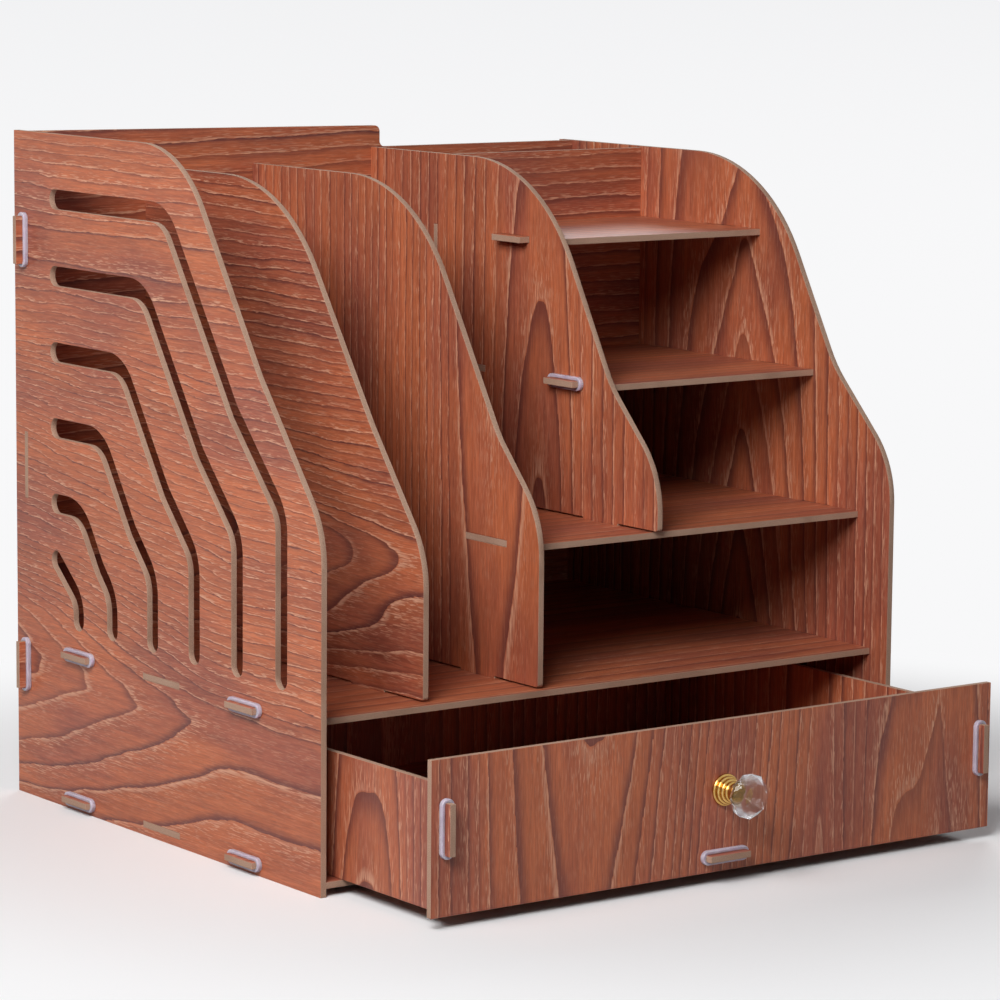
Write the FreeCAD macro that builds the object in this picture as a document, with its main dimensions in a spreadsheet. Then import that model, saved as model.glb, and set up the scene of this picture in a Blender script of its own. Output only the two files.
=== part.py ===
"""Flat-pack desk organiser of tab-and-slot boards: file dividers, stepped shelves, a pen box and one drawer.

Millimetres, +Z up, the front towards -Y. The origin is on the desk, under the middle of the back panel.
Depths are given back from the side panels' front edge, heights up from the desk, and places across the
carcass from the left panel's outer face. The drawer's own places across run from its middle, and its
depths run back from the rear face of its front.
"""
import FreeCAD, Part
import math
import os
import re
import Sketcher

SIZES = {
    # Boards, tabs and the rings that lock them
    "board": 4,
    "fit_gap": 0.1,
    "ring_tab": 30,
    "plain_tab": 42,
    "tab_stand": 7.5,
    "deck_tab_stand": 6,
    "ring_wall": 2.2,
    "ring_height": 3,
    "ring_flat": 0.3,
    # Carcass
    "overall_width": 432,
    "overall_depth": 350,
    "back_inset": 13,
    "base_gap": 5,
    "knee_radius": 60,
    "bend_radius": 80,
    "shoulder_radius": 120,
    # Left side panel
    "left_rise": 17,
    "left_knee": 213,
    "left_bend_run": 68,
    "left_bend_rise": 83,
    "left_shoulder_run": 154,
    "left_shoulder_radius": 80,
    # Right side panel
    "right_rise": 47,
    "right_knee": 220,
    "right_bend_run": 57.5,
    "right_bend_rise": 57,
    "right_shoulder_run": 131,
    # First file divider
    "first_place": 87,
    "first_front": 23,
    "first_top": 399,
    "first_knee": 87,
    "first_bend_run": 57,
    "first_bend_rise": 72,
    "first_shoulder_run": 154,
    # Second file divider
    "second_place": 168,
    "second_front": 19,
    "second_top": 398,
    "second_knee": 102,
    "second_bend_run": 44,
    "second_bend_rise": 46,
    "second_shoulder_run": 137,
    # Shelf divider
    "third_place": 261,
    "third_front": 23.5,
    "third_rise": 47,
    "third_knee": 36,
    "third_bend_run": 49.5,
    "third_bend_rise": 49,
    "third_shoulder_run": 127,
    # Lower edge of the three dividers
    "foot_tab": 35,
    "foot_length": 40,
    "foot_relief": 1.2,
    "foot_radius": 2,
    # Back panel and pen wall
    "back_top_fall": 3,
    "back_step": 268,
    "back_step_radius": 4,
    "pen_box_depth": 73,
    "pen_wall_drop": 1,
    # Deck and shelves
    "deck_top": 101,
    "shelf_pitch": 86,
    "deck_front": 16,
    "lower_front": 30,
    "middle_front": 76,
    "upper_front": 132,
    # Tab centres, and their distances from rear edges, upper edges and the board below
    "deck_tab_front": 79,
    "deck_tab_margin": 79.5,
    "lower_tab_front": 73,
    "middle_tab_front": 116.5,
    "upper_tab": 173,
    "shelf_tab_margin": 110,
    "back_tab_low": 84.5,
    "back_tab_middle": 212.5,
    "left_tab_drop": 68,
    "right_tab_drop": 51,
    "foot_tab_front": 81,
    "foot_tab_margin": 70,
    "file_tab_low": 59,
    "file_tab_high": 217,
    "third_tab_low": 48,
    "third_tab_high": 131,
    # Bent slots of the left panel: the outermost, and the innermost one with a level run
    "slot_width": 12.5,
    "slot_foot": 115,
    "slot_back_margin": 44,
    "outer_slot_front": 41.8,
    "outer_slot_drop": 40.5,
    "outer_slot_lift": 4,
    "inner_slot_margin": 117.8,
    "inner_slot_level": 192.1,
    "inner_slot_knee": 141.8,
    "slot_low_share": 0.33,
    "slot_low_slope": 1.05,
    "slot_high_slope": 1.45,
    "slot_knee_radius": 28,
    "slot_mid_radius": 20,
    "slot_bend_radius": 28,
    "short_slot_margin": 77,
    "short_slot_knee": 134,
    "short_slot_top": 156,
    "short_slot_radius": 20,
    # Drawer
    "drawer_opening": 96,
    "drawer_gap": 3,
    "run_gap": 0.3,
    "drawer_front_low": 7.5,
    "drawer_front_height": 90,
    "drawer_rear_gap": 23.5,
    "drawer_height": 73.5,
    "drawer_side_inset": 7.5,
    "drawer_floor_lift": 5.7,
    "drawer_tab": 58,
    # Knob
    "knob_height": 56,
    "knob_base_radius": 9.7,
    "knob_base_length": 13,
    "knob_step_length": 2.4,
    "knob_step_inset": 1.1,
    "knob_bore_floor": 1.5,
    "crystal_seat_radius": 6,
    "crystal_radius": 13.5,
    "crystal_face_radius": 8.5,
    "crystal_belly": 8.5,
    "crystal_rim": 2.3,
    "crystal_crown": 5.7,
    "screw_radius": 2,
    "screw_end_gap": 1,
    "screw_head_radius": 4,
    "screw_head_height": 2.4,
    "washer_radius": 6,
    "washer_thickness": 1,
}

LEVEL_SLOTS = 5
KNOB_STEPS = 4

# Planes and edges that several pieces share
LEFT_EDGE = "-overall_width / 2"
RIGHT_INSIDE = "overall_width - board"
FRONT_LINE = "back_inset - overall_depth"
BACK_MIDDLE = "overall_depth - back_inset"
BACK_FACE = "overall_depth - back_inset - board / 2"
PEN_WALL_BACK = f"{BACK_FACE} - pen_box_depth"
PEN_MIDDLE = f"{PEN_WALL_BACK} - board / 2"
RING_REACH = "board + tab_stand"
DECK_REACH = "board + deck_tab_stand"

# Heights, built up from the desk
BASE_MIDDLE = "base_gap + board / 2"
DECK_MIDDLE = "deck_top - board / 2"
LOWER_TOP = "deck_top + shelf_pitch"
LOWER_MIDDLE = f"{LOWER_TOP} - board / 2"
MIDDLE_TOP = "deck_top + 2 * shelf_pitch"
MIDDLE_MIDDLE = f"{MIDDLE_TOP} - board / 2"
UPPER_TOP = "deck_top + 3 * shelf_pitch"
UPPER_MIDDLE = f"{UPPER_TOP} - board / 2"
RIGHT_TOP = f"{UPPER_TOP} + right_rise"
LEFT_TOP = f"{RIGHT_TOP} + left_rise"
THIRD_TOP = f"{UPPER_TOP} + third_rise"
PEN_WALL_TOP = f"{RIGHT_TOP} - pen_wall_drop"

# Tab centres that follow an edge
DECK_TAB_MIDDLE = "overall_depth / 2"
DECK_TAB_BACK = "overall_depth - deck_tab_margin"
LEFT_BACK_TAB = f"{LEFT_TOP} - left_tab_drop"
RIGHT_BACK_TAB = f"{RIGHT_TOP} - right_tab_drop"
SHELF_TAB_BACK = f"{BACK_FACE} - shelf_tab_margin"
FOOT_TABS = ("foot_tab_front", f"{BACK_FACE} - foot_tab_margin")
FILE_TABS = ("deck_top + file_tab_low", "deck_top + file_tab_high")
THIRD_TABS = (f"{LOWER_TOP} + third_tab_low", f"{LOWER_TOP} + third_tab_high")
PEN_TAB = f"({MIDDLE_TOP}) / 2 + ({PEN_WALL_TOP}) / 2"

# Drawer
DRAWER_LINE = f"{FRONT_LINE} - drawer_opening"
DRAWER_LENGTH = f"{BACK_FACE} - board - tab_stand - drawer_rear_gap"
DRAWER_LOW = "base_gap + board + run_gap"
DRAWER_FLOOR_TAB = f"({DRAWER_LENGTH}) / 2"
FLOOR_LOW = f"{DRAWER_LOW} + drawer_floor_lift"
FLOOR_MIDDLE = f"{FLOOR_LOW} + board / 2"
FRONT_HALF = "(overall_width / 2 - board - drawer_gap)"
SIDE_FACE = "(overall_width / 2 - board - drawer_gap - drawer_side_inset)"
SIDE_MIDDLE = "(overall_width / 2 - board - drawer_gap - drawer_side_inset - board / 2)"

doc = FreeCAD.newDocument("DeskOrganiser")
sheet = doc.addObject("Spreadsheet::Sheet", "sizes")
sub_parts = []


def fill_sheet():
    """Writes every driving size to the sheet under its alias."""
    for row, (alias, size) in enumerate(SIZES.items(), start=1):
        sheet.set(f"A{row}", alias)
        sheet.set(f"B{row}", str(size))
        sheet.setAlias(f"B{row}", alias)
    doc.recompute()


def linked(text):
    """Turns the words of an expression into references to the sheet."""
    return re.sub(r"[a-z][a-z_]*", lambda word: f"sizes.{word.group()}", text)


def value(text):
    """Present value of an expression."""
    return float(sheet.evalExpression(linked(text)))


def place(piece, across="0", depth="0", height="0"):
    """Binds a piece's place to the sheet."""
    for axis, text in (("x", across), ("y", depth), ("z", height)):
        piece.setExpression(f"Placement.Base.{axis}", linked(text))


def sub_part(piece, label):
    """Names a finished piece and puts it on the list to write."""
    piece.Label = label
    sub_parts.append(piece)
    return piece


def body_sketch(body, role):
    """Sketch on one of a body's own origin planes."""
    sketch = body.newObject("Sketcher::SketchObject", f"{body.Name}_outline")
    plane = next(feature for feature in body.Origin.OriginFeatures if feature.Role == role)
    sketch.AttachmentSupport = [(plane, "")]
    sketch.MapMode = "FlatFace"
    return sketch


def corner_arc(before, corner, after, radius):
    """Arc that rounds a corner, its two tangent points, and whether it turns to the left."""
    inward = (before - corner).normalize()
    outward = (after - corner).normalize()
    half_angle = inward.getAngle(outward) / 2
    start = corner + inward * (radius / math.tan(half_angle))
    finish = corner + outward * (radius / math.tan(half_angle))
    centre = corner + (inward + outward).normalize() * (radius / math.sin(half_angle))
    left_turn = inward.cross(outward).z < 0
    first, last = (start, finish) if left_turn else (finish, start)
    angles = [math.atan2(point.y - centre.y, point.x - centre.x) for point in (first, last)]
    circle = Part.Circle(centre, FreeCAD.Vector(0, 0, 1), radius)
    return Part.ArcOfCircle(circle, *angles), start, finish, left_turn


class Drawing:
    """Edges of one sketch, with constraints that are collected first and added together."""

    def __init__(self, sketch):
        self.sketch = sketch
        self.constraints = []
        self.texts = {}

    def bind(self, text, kind, *where):
        """Adds a dimension that follows an expression."""
        self.texts[len(self.constraints)] = text
        self.constraints.append(Sketcher.Constraint(kind, *where, value(text)))

    def fix_point(self, element, end, corner):
        """Ties one point to its two expressions."""
        self.bind(corner[0], "DistanceX", -1, 1, element, end)
        self.bind(corner[1], "DistanceY", -1, 1, element, end)

    def round_corner(self, line_in, line_out, corner, point, arc, left_turn):
        """Joins two edges by a tangent arc, with the sharp corner kept as a construction point."""
        arc_id = self.sketch.addGeometry(arc)
        sharp = self.sketch.addGeometry(Part.Point(point), True)
        enters, leaves = (1, 2) if left_turn else (2, 1)
        self.constraints += [
            Sketcher.Constraint("Tangent", line_in, 2, arc_id, enters),
            Sketcher.Constraint("Tangent", line_out, 1, arc_id, leaves),
            Sketcher.Constraint("PointOnObject", sharp, 1, line_in),
            Sketcher.Constraint("PointOnObject", sharp, 1, line_out),
        ]
        self.fix_point(sharp, 1, corner)
        self.bind(corner[2], "Radius", arc_id)

    def circle(self, centre):
        """Whole circle about a centre that names its radius."""
        point = FreeCAD.Vector(value(centre[0]), value(centre[1]), 0)
        circle = Part.Circle(point, FreeCAD.Vector(0, 0, 1), value(centre[2]))
        circle_id = self.sketch.addGeometry(circle)
        self.fix_point(circle_id, 3, centre)
        self.bind(centre[2], "Radius", circle_id)

    def path(self, corners, closed=True):
        """Straight edges through the corners, with an arc at each corner that names a radius."""
        points = [FreeCAD.Vector(value(corner[0]), value(corner[1]), 0) for corner in corners]
        count = len(points)
        starts = list(points)
        ends = list(points)
        arcs = {}
        for index, corner in enumerate(corners):
            if len(corner) == 3:
                around = points[index - 1], points[index], points[(index + 1) % count]
                arc, ends[index], starts[index], left_turn = corner_arc(*around, value(corner[2]))
                arcs[index] = (arc, left_turn)
        edges = count if closed else count - 1
        segments = [Part.LineSegment(starts[index], ends[(index + 1) % count]) for index in range(edges)]
        lines = [self.sketch.addGeometry(segment) for segment in segments]
        for index, corner in enumerate(corners):
            if not closed and index == count - 1:
                self.fix_point(lines[-1], 2, corner)
            elif index in arcs:
                self.round_corner(lines[index - 1], lines[index], corner, points[index], *arcs[index])
            else:
                if closed or index > 0:
                    meeting = Sketcher.Constraint("Coincident", lines[index - 1], 2, lines[index], 1)
                    self.constraints.append(meeting)
                self.fix_point(lines[index], 1, corner)

    def finish(self):
        """Adds the constraints and binds the dimensions among them to the sheet."""
        self.sketch.addConstraint(self.constraints)
        for index, text in self.texts.items():
            self.sketch.setExpression(f"Constraints[{index}]", linked(text))


def draw(sketch, paths, closed=True):
    """Draws every path of a sketch; a single point with a radius is a circle."""
    drawing = Drawing(sketch)
    for path in paths:
        if len(path) == 1:
            drawing.circle(path[0])
        else:
            drawing.path(path, closed)
    drawing.finish()


def add_pad(body, role, outline, holes, thickness):
    """Pads an outline with holes on one of a body's planes."""
    sketch = body_sketch(body, role)
    draw(sketch, [outline, *holes])
    pad = body.newObject("PartDesign::Pad", f"{body.Name}_pad")
    pad.Profile = sketch
    pad.setExpression("Length", linked(thickness))


def board_body(name, role, outline, holes=()):
    """Board of the common thickness, with holes."""
    body = doc.addObject("PartDesign::Body", name)
    add_pad(body, role, outline, holes, "board")
    return body


def turned_body(name, outline):
    """Round piece: a half outline turned about its own Y axis."""
    body = doc.addObject("PartDesign::Body", name)
    sketch = body_sketch(body, "XY_Plane")
    draw(sketch, [outline])
    turn = body.newObject("PartDesign::Revolution", f"{name}_turn")
    turn.Profile = sketch
    turn.ReferenceAxis = (sketch, ["V_Axis"])
    turn.Angle = 360
    return body


def rectangle(across, up, half_across, half_up, *radius):
    """Corners of an upright rectangle about a centre, rounded if a radius is given."""
    return [
        (f"{across} - ({half_across})", f"{up} - ({half_up})", *radius),
        (f"{across} + ({half_across})", f"{up} - ({half_up})", *radius),
        (f"{across} + ({half_across})", f"{up} + ({half_up})", *radius),
        (f"{across} - ({half_across})", f"{up} + ({half_up})", *radius),
    ]


def level_slot(centre, middle, length):
    """Slot for a tab whose length lies along the sketch's first axis."""
    return rectangle(centre, middle, f"{length} / 2 + fit_gap", "board / 2 + fit_gap")


def upright_slot(middle, centre, length):
    """Slot for a tab whose length lies along the sketch's second axis."""
    return rectangle(middle, centre, "board / 2 + fit_gap", f"{length} / 2 + fit_gap")


def tab_corners(edge, outward, tabs, upright, backwards=False):
    """Corners of the tabs on one straight edge; each tab has a centre, a length and a reach."""
    corners = []
    for centre, length, reach in tabs:
        low = f"{centre} - {length} / 2"
        high = f"{centre} + {length} / 2"
        tip = f"{edge} {outward} ({reach})"
        corners += [(edge, low), (tip, low), (tip, high), (edge, high)]
    if not upright:
        corners = [(along, off) for off, along in corners]
    return corners[::-1] if backwards else corners


def shelf_outline(left, right, front, back, left_tabs=(), right_tabs=(), front_tabs=(), back_tabs=()):
    """Rectangular board seen from above, with tabs on its edges."""
    return [
        (left, front),
        *tab_corners(front, "-", front_tabs, upright=False),
        (right, front),
        *tab_corners(right, "+", right_tabs, upright=True),
        (right, back),
        *tab_corners(back, "+", back_tabs, upright=False, backwards=True),
        (left, back),
        *tab_corners(left, "-", left_tabs, upright=True, backwards=True),
    ]


def sloped_front(name, front, standing, top, shoulder_radius="shoulder_radius"):
    """Shoulder, bend and knee of an upright board's front edge, from the top down."""
    knee = f"{standing} + {name}_knee"
    return [
        (f"{front} + {name}_shoulder_run", top, shoulder_radius),
        (f"{front} + {name}_bend_run", f"{knee} + {name}_bend_rise", "bend_radius"),
        (front, knee, "knee_radius"),
    ]


def deck_tabs():
    """Tabs of the bottom board and the deck: ringed at front and back, plain between."""
    return [
        ("deck_tab_front", "ring_tab", DECK_REACH),
        (DECK_TAB_MIDDLE, "plain_tab", "board"),
        (DECK_TAB_BACK, "ring_tab", DECK_REACH),
    ]


def back_tabs(highest):
    """Tabs on one upright edge of the back panel, given the centre of the highest."""
    return [
        ("back_tab_low", "ring_tab", RING_REACH),
        ("back_tab_middle", "plain_tab", "board"),
        (highest, "ring_tab", RING_REACH),
    ]


def carcass_side_slots(highest):
    """Slots that both side panels share: bottom board, deck and back panel."""
    slots = []
    for middle in (BASE_MIDDLE, DECK_MIDDLE):
        slots += [level_slot(centre, middle, length) for centre, length, reach in deck_tabs()]
    slots += [upright_slot(BACK_MIDDLE, centre, length) for centre, length, reach in back_tabs(highest)]
    return slots


def between(outer, inner, number):
    """Expression for one of the nested slots, evenly spaced from the outermost to the innermost."""
    share = number / (LEVEL_SLOTS - 1)
    return f"(({outer}) * {1 - share} + ({inner}) * {share})"


def slot_path(number):
    """Middle line of one bent slot: up from its foot, back along two slopes, then level."""
    front = between("outer_slot_front", "overall_depth - inner_slot_margin", number)
    level = between(f"{LEFT_TOP} - outer_slot_drop", "inner_slot_level", number)
    knee = between("left_knee + outer_slot_lift", "inner_slot_knee", number)
    low_rise = f"slot_low_share * ({level} - {knee})"
    high_rise = f"(1 - slot_low_share) * ({level} - {knee})"
    kink = f"{front} + {low_rise} / slot_low_slope"
    return [
        (front, "slot_foot + slot_width / 2"),
        (front, knee, "slot_knee_radius"),
        (kink, f"{knee} + {low_rise}", "slot_mid_radius"),
        (f"{kink} + {high_rise} / slot_high_slope", level, "slot_bend_radius"),
        ("overall_depth - slot_back_margin - slot_width / 2", level),
    ]


def short_slot_path():
    """Middle line of the innermost slot, which ends on its slope."""
    front = "overall_depth - short_slot_margin"
    return [
        (front, "slot_foot + slot_width / 2"),
        (front, "short_slot_knee", "short_slot_radius"),
        ("overall_depth - slot_back_margin - slot_width / 2", "short_slot_top"),
    ]


def slot_cutter(name, path):
    """Round-ended cutter along a slot's middle line, through the panel."""
    line = doc.addObject("Sketcher::SketchObject", f"{name}_line")
    line.Placement = FreeCAD.Placement(FreeCAD.Vector(), FreeCAD.Rotation(FreeCAD.Vector(1, 1, 1), 120))
    draw(line, [path], closed=False)
    face = doc.addObject("Part::Offset2D", f"{name}_face")
    face.Source = line
    face.Mode = "Pipe"
    face.Join = "Arc"
    face.Fill = True
    face.setExpression("Value", linked("slot_width / 2"))
    cutter = doc.addObject("Part::Extrusion", name)
    cutter.Base = face
    cutter.DirMode = "Custom"
    cutter.Dir = FreeCAD.Vector(1, 0, 0)
    cutter.setExpression("LengthFwd", linked("2 * board"))
    cutter.setExpression("LengthRev", linked("board"))
    return cutter


def left_side_panel():
    """Tall left panel with six nested bent slots."""
    outline = [("0", "0"), ("overall_depth", "0"), ("overall_depth", LEFT_TOP)]
    outline += sloped_front("left", "0", "0", LEFT_TOP, "left_shoulder_radius")
    blank = board_body("left_blank", "YZ_Plane", outline, carcass_side_slots(LEFT_BACK_TAB))
    cutters = [slot_cutter(f"bent_slot_{number}", slot_path(number)) for number in range(LEVEL_SLOTS)]
    cutters.append(slot_cutter("short_slot", short_slot_path()))
    slots = doc.addObject("Part::Compound", "bent_slots")
    slots.Links = cutters
    panel = doc.addObject("Part::Cut", "left_panel")
    panel.Base = blank
    panel.Tool = slots
    place(panel, LEFT_EDGE, FRONT_LINE)
    sub_part(panel, "left_side_panel")


def right_side_panel():
    """Lower right panel, slotted for every shelf."""
    outline = [("0", "0"), ("overall_depth", "0"), ("overall_depth", RIGHT_TOP)]
    outline += sloped_front("right", "0", "0", RIGHT_TOP)
    slots = carcass_side_slots(RIGHT_BACK_TAB) + [
        level_slot("lower_tab_front", LOWER_MIDDLE, "ring_tab"),
        level_slot(SHELF_TAB_BACK, LOWER_MIDDLE, "plain_tab"),
        level_slot("middle_tab_front", MIDDLE_MIDDLE, "ring_tab"),
        level_slot(SHELF_TAB_BACK, MIDDLE_MIDDLE, "plain_tab"),
        level_slot("upper_tab", UPPER_MIDDLE, "ring_tab"),
        upright_slot(PEN_MIDDLE, PEN_TAB, "plain_tab"),
    ]
    panel = board_body("right_panel", "YZ_Plane", outline, slots)
    place(panel, "overall_width / 2 - board", FRONT_LINE)
    sub_part(panel, "right_side_panel")


def divider_outline(name, standing, top, back_centres):
    """Upright divider: a relieved lower edge with tabs and a rear foot, two rear tabs and a sloped front."""
    front = f"{name}_front"
    heel = f"{BACK_FACE} - foot_length"
    relief = f"{standing} + foot_relief"
    foot_tabs = [(centre, "foot_tab", "board + foot_relief") for centre in FOOT_TABS]
    rear_tabs = [(centre, "ring_tab", "board") for centre in back_centres]
    return [
        (front, relief, "foot_radius"),
        *tab_corners(relief, "-", foot_tabs, upright=False),
        (heel, relief),
        (heel, standing),
        (BACK_FACE, standing),
        *tab_corners(BACK_FACE, "+", rear_tabs, upright=True),
        (BACK_FACE, top),
        *sloped_front(name, front, standing, top),
    ]


def divider_across(name):
    """Place of a divider's left face in the part's frame."""
    return f"{LEFT_EDGE} + {name}_place"


def file_divider_left():
    """First divider, between the two file slots next to the tall panel."""
    outline = divider_outline("first", "deck_top", "first_top", FILE_TABS)
    divider = board_body("divider_one", "YZ_Plane", outline)
    place(divider, divider_across("first"), FRONT_LINE)
    sub_part(divider, "file_divider_left")


def file_divider_right():
    """Second divider, which also carries the lower shelf."""
    tabs = ("lower_tab_front", SHELF_TAB_BACK)
    slots = [level_slot(centre, LOWER_MIDDLE, "plain_tab") for centre in tabs]
    outline = divider_outline("second", "deck_top", "second_top", FILE_TABS)
    divider = board_body("divider_two", "YZ_Plane", outline, slots)
    place(divider, divider_across("second"), FRONT_LINE)
    sub_part(divider, "file_divider_right")


def shelf_divider():
    """Third divider, standing on the lower shelf and carrying the two upper shelves and the pen wall."""
    slots = [
        level_slot("middle_tab_front", MIDDLE_MIDDLE, "ring_tab"),
        level_slot(SHELF_TAB_BACK, MIDDLE_MIDDLE, "plain_tab"),
        level_slot("upper_tab", UPPER_MIDDLE, "ring_tab"),
        upright_slot(PEN_MIDDLE, PEN_TAB, "plain_tab"),
    ]
    outline = divider_outline("third", LOWER_TOP, THIRD_TOP, THIRD_TABS)
    divider = board_body("divider_three", "YZ_Plane", outline, slots)
    place(divider, divider_across("third"), FRONT_LINE)
    sub_part(divider, "shelf_divider")


def back_panel():
    """Back panel, stepped down to the right of the shelf divider, with tabs in both side panels."""
    outline = [
        ("board", "0"),
        (RIGHT_INSIDE, "0"),
        *tab_corners(RIGHT_INSIDE, "+", back_tabs(RIGHT_BACK_TAB), upright=True),
        (RIGHT_INSIDE, RIGHT_TOP),
        ("back_step", RIGHT_TOP, "back_step_radius"),
        ("back_step", f"{LEFT_TOP} - back_top_fall", "back_step_radius"),
        ("board", LEFT_TOP),
        *tab_corners("board", "-", back_tabs(LEFT_BACK_TAB), upright=True, backwards=True),
    ]
    slots = []
    for name, tabs in (("first", FILE_TABS), ("second", FILE_TABS), ("third", THIRD_TABS)):
        slots += [upright_slot(f"{name}_place + board / 2", centre, "ring_tab") for centre in tabs]
    panel = board_body("rear_panel", "XZ_Plane", outline, slots)
    place(panel, LEFT_EDGE, "board / 2")
    sub_part(panel, "back_panel")


def pen_wall():
    """Front wall of the pen box, standing on the middle shelf."""
    left = "third_place + board"
    tab = [(PEN_TAB, "plain_tab", "board")]
    outline = [
        (left, MIDDLE_TOP),
        (RIGHT_INSIDE, MIDDLE_TOP),
        *tab_corners(RIGHT_INSIDE, "+", tab, upright=True),
        (RIGHT_INSIDE, PEN_WALL_TOP),
        (left, PEN_WALL_TOP),
        *tab_corners(left, "-", tab, upright=True, backwards=True),
    ]
    wall = board_body("pen_box_wall", "XZ_Plane", outline)
    place(wall, LEFT_EDGE, f"{FRONT_LINE} + {PEN_WALL_BACK}")
    sub_part(wall, "pen_wall")


def level_board(name, label, outline, top, holes=()):
    """Places a level board with its top face at a height."""
    shelf = board_body(name, "XY_Plane", outline, holes)
    place(shelf, LEFT_EDGE, FRONT_LINE, f"{top} - board")
    sub_part(shelf, label)


def foot_slots(name):
    """Slots in a level board for the lower tabs of a divider."""
    return [upright_slot(f"{name}_place + board / 2", centre, "foot_tab") for centre in FOOT_TABS]


def bottom_board():
    """Board that the drawer runs on, between the side panels."""
    outline = shelf_outline("board", RIGHT_INSIDE, "0", BACK_FACE, deck_tabs(), deck_tabs())
    level_board("floor_board", "bottom_board", outline, "base_gap + board")


def drawer_deck():
    """Board above the drawer, which carries both file dividers."""
    outline = shelf_outline("board", RIGHT_INSIDE, "deck_front", BACK_FACE, deck_tabs(), deck_tabs())
    level_board("deck_board", "drawer_deck", outline, "deck_top", foot_slots("first") + foot_slots("second"))


def lower_shelf():
    """Shelf from the second divider to the right panel, which carries the shelf divider."""
    back = (SHELF_TAB_BACK, "plain_tab", "board")
    outline = shelf_outline("second_place + board", RIGHT_INSIDE, "lower_front", BACK_FACE,
                            [("lower_tab_front", "plain_tab", "board"), back],
                            [("lower_tab_front", "ring_tab", RING_REACH), back])
    level_board("shelf_one", "lower_shelf", outline, LOWER_TOP, foot_slots("third"))


def middle_shelf():
    """Shelf from the shelf divider to the right panel, and floor of the pen box."""
    tabs = [("middle_tab_front", "ring_tab", RING_REACH), (SHELF_TAB_BACK, "plain_tab", "board")]
    outline = shelf_outline("third_place + board", RIGHT_INSIDE, "middle_front", BACK_FACE, tabs, tabs)
    level_board("shelf_two", "middle_shelf", outline, MIDDLE_TOP)


def top_shelf():
    """Short shelf in front of the pen wall."""
    tabs = [("upper_tab", "ring_tab", RING_REACH)]
    back = f"{PEN_WALL_BACK} - board"
    outline = shelf_outline("third_place + board", RIGHT_INSIDE, "upper_front", back, tabs, tabs)
    level_board("shelf_three", "top_shelf", outline, UPPER_TOP)


def ring_group(name, label, role, level_spots, upright_spots, across, depth):
    """Oval rings in one plane, each pushed over a tab."""
    half_length = "ring_tab / 2 + fit_gap"
    half_width = "board / 2 + fit_gap"
    radius = "board / 2 + fit_gap + ring_wall - ring_flat"
    rings = doc.addObject("PartDesign::Body", name)
    for along, up, half_along, half_up in (
            *((spot, middle, half_length, half_width) for spot, middle in level_spots),
            *((middle, spot, half_width, half_length) for middle, spot in upright_spots)):
        outer = rectangle(along, up, f"{half_along} + ring_wall", f"{half_up} + ring_wall", radius)
        hole = rectangle(along, up, half_along, half_up)
        add_pad(rings, role, outer, [hole], "ring_height")
    place(rings, across, depth)
    sub_part(rings, label)


def carcass_rings():
    """Rings on the outer faces of the side panels and on the shelf divider."""
    ringed = ("deck_tab_front", DECK_TAB_BACK)
    deck = [(centre, middle) for middle in (BASE_MIDDLE, DECK_MIDDLE) for centre in ringed]
    left_back, right_back = (
        [(BACK_MIDDLE, "back_tab_low"), (BACK_MIDDLE, highest)]
        for highest in (LEFT_BACK_TAB, RIGHT_BACK_TAB))
    middle_spot = ("middle_tab_front", MIDDLE_MIDDLE)
    shelves = [("lower_tab_front", LOWER_MIDDLE), middle_spot, ("upper_tab", UPPER_MIDDLE)]
    third_face = divider_across("third")
    for name, label, level, upright, across in (
            ("rings_left", "left_panel_rings", deck, left_back, f"{LEFT_EDGE} - ring_height"),
            ("rings_right", "right_panel_rings", deck + shelves, right_back, "overall_width / 2"),
            ("ring_shelf", "shelf_divider_ring", [middle_spot], [], f"{third_face} - ring_height")):
        ring_group(name, label, "YZ_Plane", level, upright, across, FRONT_LINE)


def drawer_end_slots():
    """Slots that the drawer's front and back share: both sides and the floor."""
    sides = [upright_slot(f"{sign}{SIDE_MIDDLE}", "drawer_tab", "ring_tab") for sign in ("-", "")]
    return [*sides, level_slot("0", FLOOR_MIDDLE, "ring_tab")]


def drawer_end(name, label, low, height, depth, holes=()):
    """Upright board across the drawer, at its front or its back."""
    outline = [
        (f"-{FRONT_HALF}", low),
        (FRONT_HALF, low),
        (FRONT_HALF, f"{low} + {height}"),
        (f"-{FRONT_HALF}", f"{low} + {height}"),
    ]
    end = board_body(name, "XZ_Plane", outline, [*drawer_end_slots(), *holes])
    place(end, "0", f"{DRAWER_LINE} + {depth}")
    sub_part(end, label)


def drawer_side(name, label, across):
    """Side of the drawer, with a ringed tab at each end and a slot for the floor."""
    tabs = [("drawer_tab", "ring_tab", RING_REACH)]
    high = f"{DRAWER_LOW} + drawer_height"
    outline = [
        ("0", DRAWER_LOW),
        (DRAWER_LENGTH, DRAWER_LOW),
        *tab_corners(DRAWER_LENGTH, "+", tabs, upright=True),
        (DRAWER_LENGTH, high),
        ("0", high),
        *tab_corners("0", "-", tabs, upright=True, backwards=True),
    ]
    side = board_body(name, "YZ_Plane", outline, [level_slot(DRAWER_FLOOR_TAB, FLOOR_MIDDLE, "plain_tab")])
    place(side, across, DRAWER_LINE)
    sub_part(side, label)


def drawer_bottom():
    """Floor of the drawer, tabbed into all four walls."""
    ringed = [("0", "ring_tab", RING_REACH)]
    plain = [(DRAWER_FLOOR_TAB, "plain_tab", "board")]
    inner = f"({SIDE_FACE} - board)"
    outline = shelf_outline(f"-{inner}", inner, "0", DRAWER_LENGTH, plain, plain, ringed, ringed)
    floor = board_body("drawer_floor", "XY_Plane", outline)
    place(floor, "0", DRAWER_LINE, FLOOR_LOW)
    sub_part(floor, "drawer_bottom")


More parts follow.
